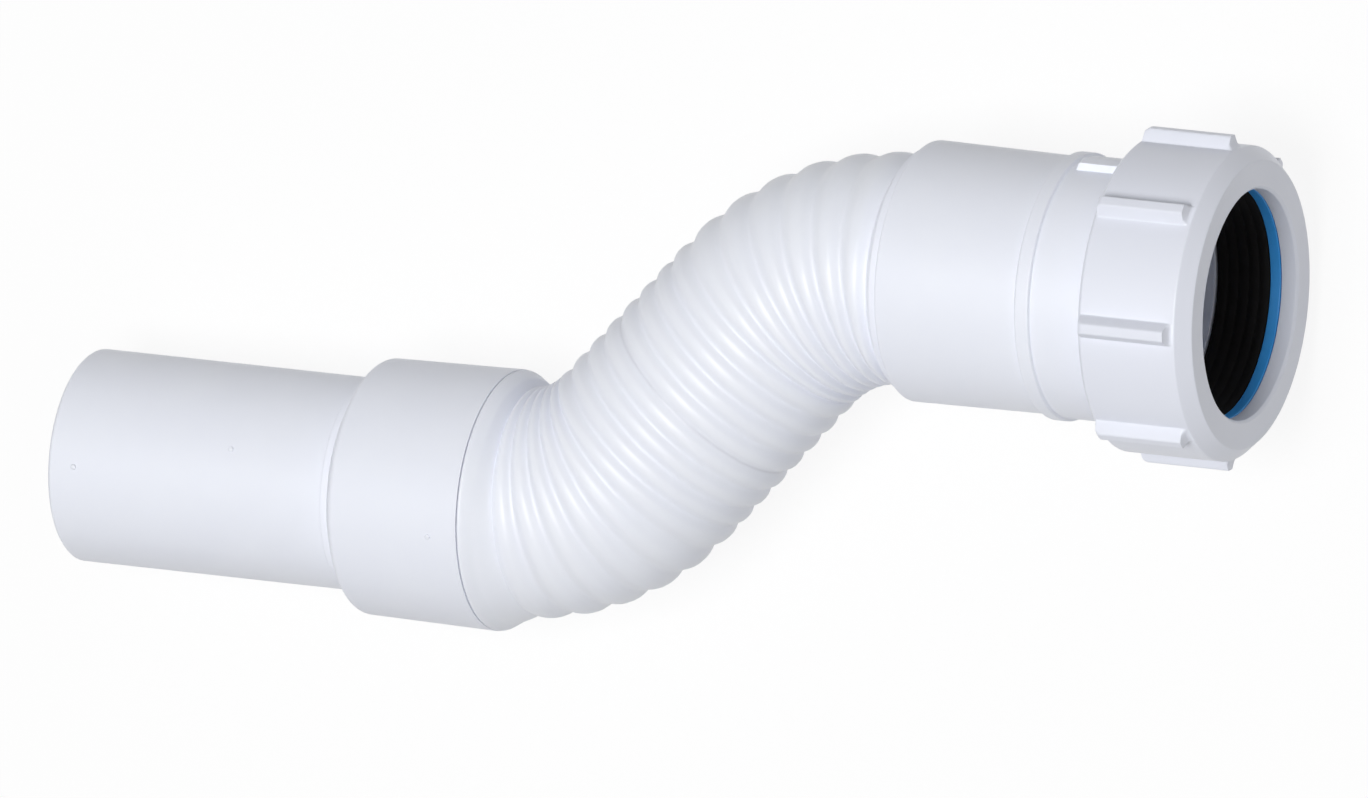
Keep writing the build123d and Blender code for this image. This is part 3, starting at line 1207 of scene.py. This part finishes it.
@dataclass(frozen=True)
class CompressionStack:
    """Rubber seal, slip washer and ribbed nut, stacked on the compression socket's mouth, in millimetres."""

    seal_floor_gap: float = 0.2
    seal_proud: float = 3.1
    seal_bore: float = 44.0
    seal_clearance: float = 0.2
    seal_lip: float = 0.25
    seal_ribs: int = 5
    seal_rib_points: int = 14
    seal_rib_bluntness: float = 0.7
    washer_play: float = 0.1
    washer_thickness: float = 2.2
    washer: float = 54.0
    washer_bore: float = 44.2
    lip: float = 3.5
    nut_bore: float = 55.2
    nut_crest: float = 1.2
    nut_barrel: float = 60.4
    barrel_length: float = 20.1
    bevel_length: float = 2.7
    nut_face: float = 55.3
    nut_mouth: float = 44.3
    mouth_chamfer: float = 0.5
    back_chamfer: float = 0.7
    ribs: int = 8
    rib_height: float = 2.4
    rib_base: float = 4.4
    rib_top: float = 1.8
    rib_setback: float = 0.8
    rib_end_setback: float = 0.9
    rib_end_slope: float = 0.25
    rib_start_slope: float = 8.0
    rib_start_rounding: float = 0.3
    rib_phase: float = -9.8
    rib_rounding: float = 0.35
    rib_fillet: float = 0.25
    thread_phase: float = 0.5
    segments: int = 192
    nut_segments: int = 560
    rib_crowding: float = 7.0
    crowded_share: float = 0.7
    barrel_step: float = 0.4
    rib_start_step: float = 0.12
    rib_start_reach: tuple[float, float] = (-0.3, 1.4)
    rib_end_step: float = 0.06
    rib_end_reach: tuple[float, float] = (-0.7, 0.2)

    def seal(self, socket: ConnectorBody, drawing: DrawingFrame, material: bpy.types.Material) -> None:
        """Makes the wedge seal, whose bore is a row of rounded ribs.

        The bore's radius is the crest radius plus the rib depth times 1 - |sin|^bluntness, with half a turn
        of the sine to each rib.

        Args:
            socket: The socket that it sits in.
            drawing: The drawing frame.
            material: Black rubber.
        """
        floor = drawing.pipe_stop + socket.pipe_bore_length
        flare = (socket.seat_mouth - socket.seat_floor) / 2 / socket.seat_depth
        back, front = floor + self.seal_floor_gap, floor + socket.seat_depth + self.seal_proud
        root = socket.seat_floor / 2 - self.seal_clearance + flare * self.seal_floor_gap
        rim = root + flare * (front - back)
        bore = self.seal_bore / 2
        wedge = rounded_outline([
            Corner(back, bore + self.seal_lip, 0.05),
            Corner(back, root, 0.3),
            Corner(front, rim, 0.5),
            Corner(front, bore + self.seal_lip, 0.05),
        ])
        share = np.linspace(1, 0, self.seal_ribs * self.seal_rib_points + 1)[1:-1]
        crests = np.abs(np.sin(math.pi * self.seal_ribs * share)) ** self.seal_rib_bluntness
        ribbed = bore + self.seal_lip * (1 - crests)
        section = np.vstack([wedge, np.stack([back + share * (front - back), ribbed], axis=1)])
        points = turned(*section.T, even_angles(self.segments), drawing.connector_axis)
        seal = ring_piece("wedge_seal", drawing.placed(points))
        dress(seal, "rubber_seal", material)
        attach(seal, Body.CONNECTOR.value)

    def slip_washer(self, front: float, drawing: DrawingFrame, material: bpy.types.Material) -> None:
        """Makes the flat slip washer.

        Args:
            front: Place along X of the seal's front face.
            drawing: The drawing frame.
            material: Blue plastic.
        """
        back = front + self.washer_play
        outline = rounded_outline([
            Corner(back, self.washer_bore / 2, 0.25),
            Corner(back, self.washer / 2, 0.4),
            Corner(back + self.washer_thickness, self.washer / 2, 0.4),
            Corner(back + self.washer_thickness, self.washer_bore / 2, 0.25),
        ])
        points = turned(*outline.T, even_angles(self.segments), drawing.connector_axis)
        ring = ring_piece("slip_ring", drawing.placed(points))
        dress(ring, "slip_washer", material)
        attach(ring, Body.WASHER.value)

    def nut(self, lip: float, drawing: DrawingFrame, thread: Thread, material: bpy.types.Material) -> None:
        """Makes the nut: a turned barrel with ribs raised on its outside and the thread on its inside.

        A rib's height is the lesser of its trapezium section round the barrel and its sloped ends along it.

        Args:
            lip: Place along X of the inner face of the nut's lip.
            drawing: The drawing frame.
            thread: The compression thread.
            material: White plastic of the nut.
        """
        face = lip + self.lip
        shoulder = face - self.bevel_length
        back = shoulder - self.barrel_length
        barrel, bore, mouth = self.nut_barrel / 2, self.nut_bore / 2, self.nut_mouth / 2
        outline = rounded_outline([
            Corner(back, bore + self.back_chamfer, 0.3),
            Corner(back, barrel - self.back_chamfer, 0.4),
            Corner(back + self.back_chamfer, barrel, 0.5),
            Corner(shoulder, barrel, 0.6),
            Corner(face, self.nut_face / 2, 0.5),
            Corner(face, mouth + self.mouth_chamfer, 0.3),
            Corner(face - self.mouth_chamfer, mouth, 0.3),
            Corner(lip, mouth, 0.2),
            Corner(lip, bore, 0.4),
            Corner(back + self.back_chamfer, bore, 0.3),
        ])
        rib_start = back + self.rib_setback
        rib_end = shoulder - self.rib_end_setback
        fine = refined(outline, self.rib_start_step, *(rib_start + reach for reach in self.rib_start_reach))
        fine = refined(fine, self.rib_end_step, *(rib_end + reach for reach in self.rib_end_reach))
        x, radius = refined(fine, self.barrel_step, back, lip).T
        outside = radius > bore + self.back_chamfer
        centres = np.radians(self.rib_phase + np.arange(self.ribs) * 360 / self.ribs)
        half_width = self.rib_base * self.crowded_share / barrel
        angles = crowded_angles(self.nut_segments, centres, half_width, self.rib_crowding)
        away = nearest_centre(angles, centres) * barrel
        side = ridge(away, self.rib_base, self.rib_top, self.rib_height, self.rib_rounding)
        steep = (x - rib_start) * self.rib_start_slope
        sloped = self.rib_height - self.rib_setback + (x - rib_start)
        start_face = smooth_min(steep, sloped, self.rib_start_rounding)
        end_face = (rib_end - x) * self.rib_height / self.rib_end_slope
        ends = smooth_min(start_face, end_face, self.rib_rounding)
        rib = smooth_min(side[None, :], ends[:, None], self.rib_rounding)
        rib = smooth_max(rib, 0.0, self.rib_fillet)
        on_barrel = outside & (x > back) & (x < shoulder)
        radii = radius[:, None] + np.where(on_barrel[:, None], rib, 0)
        thread_end = lip - self.washer_thickness - self.seal_proud
        thread_start = back + self.back_chamfer
        threaded = thread.relief(x, angles, self.nut_crest, thread_start, thread_end, self.thread_phase)
        inner_wall = ~outside & (radius > bore - WALL_TOLERANCE)
        radii = radii - np.where(inner_wall[:, None], threaded, 0)
        points = turned(x, radii, angles, drawing.connector_axis)
        nut = ring_piece("ribbed_nut", drawing.placed(points))
        dress(nut, "compression_nut", material)
        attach(nut, Body.NUT.value)

    def build(
        self,
        socket: ConnectorBody,
        drawing: DrawingFrame,
        thread: Thread,
        materials: tuple[bpy.types.Material, bpy.types.Material, bpy.types.Material],
    ) -> None:
        """Makes the seal, the washer and the nut, each stacked on the one before.

        Args:
            socket: The socket that they close.
            drawing: The drawing frame.
            thread: The compression thread.
            materials: Rubber, blue plastic and white plastic.
        """
        seal_front = drawing.pipe_stop + socket.pipe_bore_length + socket.seat_depth + self.seal_proud
        self.seal(socket, drawing, materials[0])
        self.slip_washer(seal_front, drawing, materials[1])
        self.nut(seal_front + self.washer_thickness + 2 * self.washer_play, drawing, thread, materials[2])


@dataclass(frozen=True)
class Softbox:
    """Square area light, aimed at the part.

    Attributes:
        name: Name of the light.
        swing: How far it stands towards the nut's end from straight above the tail's axis, in degrees.
        drop: How far it stands below that, in the picture, in degrees.
        power: Power in watts.
    """

    name: str
    swing: float
    drop: float
    power: float


@dataclass(frozen=True)
class Studio:
    """Camera, pale floor and soft light.

    Attributes:
        lean: How far the tail's axis leans towards the camera, in degrees.
        roll: How far the plane of the S is rolled about that axis, in degrees.
        tilt: How far the axis runs down to the right in the picture, in degrees.
        picture_width: Width of the picture at the part, in millimetres.
        centre: Picture's middle to the right of and above the tail's free end, and towards the camera.
        lens: Focal length, in millimetres: long, because the view has hardly any perspective.
        softboxes: The lights.
        softbox_size: Width of each light, in metres.
        softbox_distance: Distance of each light, in metres.
        ambient: Strength of the light from all round.
        floor_size: Width of the floor, in metres.
        floor_glow: Share of plain white in what the camera sees of the floor.
    """

    lean: float = 24.0
    roll: float = 4.5
    tilt: float = 6.14
    picture_width: float = 261.47
    centre: tuple[float, float, float] = (113.8, 10.7, 50.0)
    lens: float = 980.0
    softboxes: tuple[Softbox, ...] = (
        Softbox("key_softbox", swing=4, drop=8, power=53),
        Softbox("fill_softbox", swing=40, drop=8, power=2.5),
    )
    softbox_size: float = 1.0
    softbox_distance: float = 2.5
    ambient: float = 0.105
    floor_size: float = 12.0
    floor_glow: float = 0.9

    def tail_axes(self) -> tuple[Array, Array, Array]:
        """Directions of the tail, with the plane of the S rolled as the picture has it.

        Returns:
            Along the tail, sideways in the plane of the S, and straight above it.
        """
        roll = math.radians(self.roll)
        sideways = np.array([0, math.cos(roll), -math.sin(roll)])
        return np.array([1.0, 0, 0]), sideways, np.array([0, math.sin(roll), math.cos(roll)])

    def view_axes(self) -> tuple[Array, Array, Array]:
        """Directions of the picture in the drawing frame.

        Returns:
            Right, up and towards the camera.
        """
        lean, tilt = math.radians(self.lean), math.radians(self.tilt)
        axis, sideways, above = self.tail_axes()
        along = math.cos(lean) * axis - math.sin(lean) * above
        right = math.cos(tilt) * along + math.sin(tilt) * sideways
        up = math.cos(tilt) * sideways - math.sin(tilt) * along
        return right, up, math.sin(lean) * axis + math.cos(lean) * above

    def middle(self) -> Array:
        """The picture's middle, in the drawing frame."""
        return sum(shift * axis for shift, axis in zip(self.centre, self.view_axes()))

    def camera(self, drawing: DrawingFrame) -> None:
        """Sets the camera square to the picture's middle.

        Args:
            drawing: The drawing frame.
        """
        right, up, back = self.view_axes()
        data = bpy.data.cameras.new("camera")
        data.lens = self.lens
        distance = self.picture_width * self.lens / data.sensor_width
        place = drawing.placed(self.middle() + distance * back)
        turn = Matrix([drawing.direction(axis) for axis in (right, up, back)]).transposed()
        camera = bpy.data.objects.new("camera", data)
        camera.matrix_world = Matrix.Translation(place.tolist()) @ turn.to_4x4()
        bpy.context.scene.collection.objects.link(camera)
        bpy.context.scene.camera = camera

    def light(self, softbox: Softbox, drawing: DrawingFrame) -> None:
        """Hangs one softbox.

        Args:
            softbox: The light.
            drawing: The drawing frame.
        """
        axis, sideways, above = self.tail_axes()
        swing, drop = math.radians(softbox.swing), math.radians(softbox.drop)
        raised = math.cos(drop) * above - math.sin(drop) * sideways
        towards = drawing.direction(math.sin(swing) * axis + math.cos(swing) * raised)
        data = bpy.data.lights.new(softbox.name, "AREA")
        data.energy = softbox.power
        data.shape = "SQUARE"
        data.size = self.softbox_size
        light = bpy.data.objects.new(softbox.name, data)
        light.location = Vector(drawing.placed(self.middle()).tolist()) + towards * self.softbox_distance
        light.rotation_euler = towards.to_track_quat("Z", "Y").to_euler()
        bpy.context.scene.collection.objects.link(light)

    def seen_directly(self, tree: bpy.types.NodeTree) -> bpy.types.NodeSocket:
        """Tells rays that show the background from rays that light the part.

        Args:
            tree: Node tree that asks.

        Returns:
            Socket that is 1 for rays from the camera, from a gloss or through glass, and 0 for the others.
        """
        path = add_node(tree, "ShaderNodeLightPath", {})
        seen = path.outputs["Is Camera Ray"]
        for ray in ("Is Glossy Ray", "Is Transmission Ray"):
            either = {0: seen, 1: path.outputs[ray]}
            seen = add_node(tree, "ShaderNodeMath", either, operation="MAXIMUM").outputs[0]
        return seen

    def surroundings(self) -> None:
        """Sets the world: white where it is seen, and weak even light."""
        world = bpy.data.worlds.new("studio")
        tree = empty_tree(world)
        ambient, white = (
            add_node(tree, "ShaderNodeBackground", {"Color": hex_colour(WHITE), "Strength": strength})
            for strength in (self.ambient, 1.0)
        )
        mixed = add_node(
            tree,
            "ShaderNodeMixShader",
            {0: self.seen_directly(tree), 1: ambient.outputs[0], 2: white.outputs[0]},
        )
        add_node(tree, "ShaderNodeOutputWorld", {"Surface": mixed.outputs[0]})
        bpy.context.scene.world = world

    def floor(self) -> None:
        """Lays the floor: matt white paint that keeps the part's shadow, under a share of plain white."""
        half = self.floor_size / 2
        mesh = bpy.data.meshes.new("floor")
        corners = [(-half, -half, 0), (half, -half, 0), (half, half, 0), (-half, half, 0)]
        mesh.from_pydata(corners, [], [(0, 1, 2, 3)])
        material = bpy.data.materials.new("matt_white_paint")
        tree = empty_tree(material)
        paint = add_node(tree, "ShaderNodeBsdfDiffuse", {"Color": hex_colour("#F4F4F4")})
        white = add_node(tree, "ShaderNodeEmission", {"Color": hex_colour(WHITE), "Strength": 1.0})
        glow = add_node(
            tree, "ShaderNodeMath", {0: self.seen_directly(tree), 1: self.floor_glow}, operation="MULTIPLY"
        )
        mixed = add_node(
            tree, "ShaderNodeMixShader", {0: glow.outputs[0], 1: paint.outputs[0], 2: white.outputs[0]}
        )
        add_node(tree, "ShaderNodeOutputMaterial", {"Surface": mixed.outputs[0]})
        mesh.materials.append(material)
        floor = bpy.data.objects.new("floor", mesh)
        bpy.context.scene.collection.objects.link(floor)

    def build(self, drawing: DrawingFrame) -> None:
        """Sets up the camera, the lights, the world and the floor.

        Args:
            drawing: The drawing frame.
        """
        bpy.context.scene.view_settings.view_transform = "Standard"
        self.camera(drawing)
        for softbox in self.softboxes:
            self.light(softbox, drawing)
        self.surroundings()
        self.floor()


def main() -> None:
    """Loads the frame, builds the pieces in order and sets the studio."""
    logging.basicConfig(level=logging.INFO, format="%(name)s: %(message)s")
    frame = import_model()
    tail, hose, thread = SpigotTail(), FlexibleHose(), Thread()
    connector, stack = ConnectorBody(), CompressionStack()
    drawing = DrawingFrame.from_record(frame["record"], tail.end_chamfer)
    cuff_mouth = float(drawing.connector_hinge[0]) + hose.mouth_reach
    path = HosePath.between(drawing, hose.tail_radius, hose.connector_radius, hose.steepness, cuff_mouth)
    LOG.info("hose: two bends of %.2f degrees, %.2f mm apart", math.degrees(path.bend), path.run)
    white = WHITE_POLYPROPYLENE.material()
    tail.build(drawing, white)
    hose.build(path, drawing, HOSE_POLYPROPYLENE.material())
    connector.build(drawing, cuff_mouth, thread, white)
    finishes = (SEAL_RUBBER.material(), WASHER_POLYETHYLENE.material(), NUT_POLYPROPYLENE.material())
    stack.build(connector, drawing, thread, finishes)
    Studio().build(drawing)


if __name__ == "__main__":
    main()
